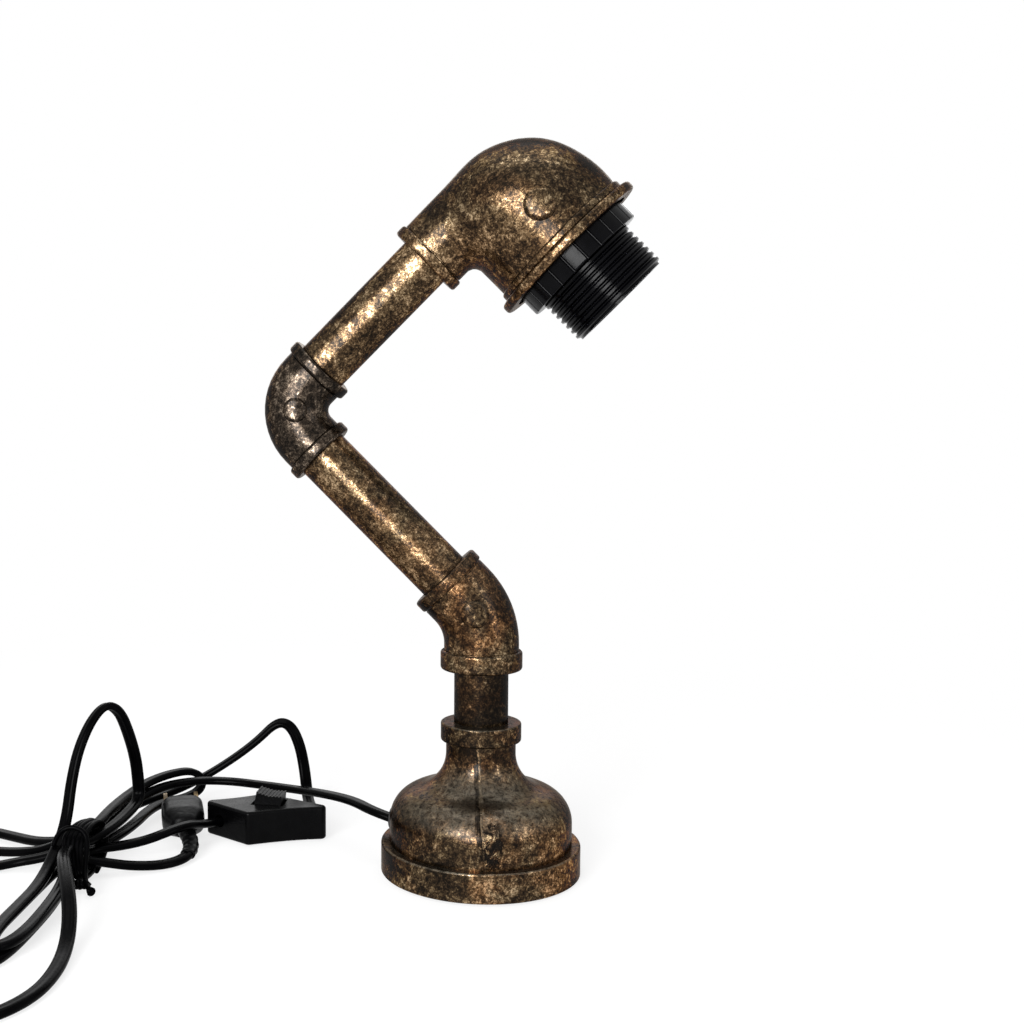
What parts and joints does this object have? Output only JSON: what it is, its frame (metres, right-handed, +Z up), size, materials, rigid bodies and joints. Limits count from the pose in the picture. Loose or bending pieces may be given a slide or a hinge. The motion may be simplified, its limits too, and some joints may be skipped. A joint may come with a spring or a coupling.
{
  "type": "pipe table lamp",
  "caption": "Table lamp of pipe and elbows: bell base, two arms that swivel on their threads, bare threaded lampholder, flat twin lead with in-line rocker switch and plug.",
  "frame": {"origin": "middle of the bell base's rest face, on the vertical axis of the nipple", "axes": "+Z up, +X from the axis towards the side the lampholder faces; the arms lie in the XZ plane, and the lead lies on the floor on the -X side"},
  "size_m": [0.3082, 0.2315, 0.2678],
  "materials": {
    "pad_rubber": "matt felted rubber",
    "ballast_steel": "bare steel",
    "screw_steel": "zinc plated",
    "bronze_casting": "speckled antique bronze lacquer, glossy",
    "bronze_pipe": "speckled antique bronze lacquer, satin",
    "dark_casting": "speckled dark bronze lacquer, glossy",
    "grommet_rubber": "matt",
    "anchor_plastic": "nylon",
    "cord_black": "soft black PVC, satin",
    "black_steel": "black satin",
    "holder_black": "black moulding, satin",
    "insulator_white": "ceramic white, glazed",
    "contact_brass": "bright brass",
    "switch_black": "black moulding, fine grain",
    "plug_black": "black moulded PVC",
    "tie_black": "coated wire"
  },
  "bodies": {
    "base": {"foot_pad": "pad_rubber", "base_plate": "ballast_steel", "base_plate_screws": "screw_steel", "base_bell": "bronze_casting", "cord_grommet": "grommet_rubber", "cord_anchor": "anchor_plastic", "cord_anchor_bar": "anchor_plastic", "cord_anchor_screws": "screw_steel", "base_cable": "cord_black", "nipple": "bronze_pipe", "switch_base": "switch_black", "switch_cover": "switch_black", "switch_contacts": "contact_brass", "switch_screws": "screw_steel", "plug_body": "plug_black", "plug_pins": "contact_brass", "cord_hank": "cord_black", "twist_tie": "tie_black", "cord_lead": "cord_black", "cord_to_switch": "cord_black", "cord_from_switch": "cord_black", "cord_loop_right": "cord_black", "cord_arch": "cord_black", "cord_to_plug": "cord_black", "cord_big_loop": "cord_black"},
    "arm": {"lower_elbow": "bronze_casting", "lower_pipe": "bronze_pipe", "arm_cable": "cord_black"},
    "forearm": {"middle_elbow": "dark_casting", "upper_pipe": "bronze_pipe", "forearm_cable": "cord_black"},
    "head": {"head_elbow": "bronze_casting", "head_cable": "cord_black", "holder_plate": "black_steel", "lampholder_barrel": "holder_black", "shade_ring": "holder_black", "lampholder_insulator": "insulator_white", "screw_shell": "contact_brass", "centre_contact": "contact_brass", "lampholder_terminals": "contact_brass", "lampholder_screws": "screw_steel", "lampholder_cap": "holder_black"},
    "rocker": {"switch_rocker": "switch_black"}
  },
  "joints": [
    {"name": "arm_swivel", "type": "hinge", "parent": "base", "child": "arm", "pos_m": [0, 0, 0.076], "axis": [0, 0, 1], "range_deg": [-90, 90]},
    {"name": "forearm_swivel", "type": "hinge", "parent": "arm", "child": "forearm", "pos_m": [-0.07516, 0, 0.17117], "axis": [-0.7071, 0, 0.7071], "range_deg": [-90, 90]},
    {"name": "head_swivel", "type": "hinge", "parent": "forearm", "child": "head", "pos_m": [0.00622, 0, 0.25255], "axis": [0.7071, 0, 0.7071], "range_deg": [-90, 90]},
    {"name": "switch_rock", "type": "hinge", "parent": "base", "child": "rocker", "pos_m": [-0.08592, 0.02925, 0.0115], "axis": [0.0506, 0.9987, 0], "range_deg": [-16, 0]}
  ]
}
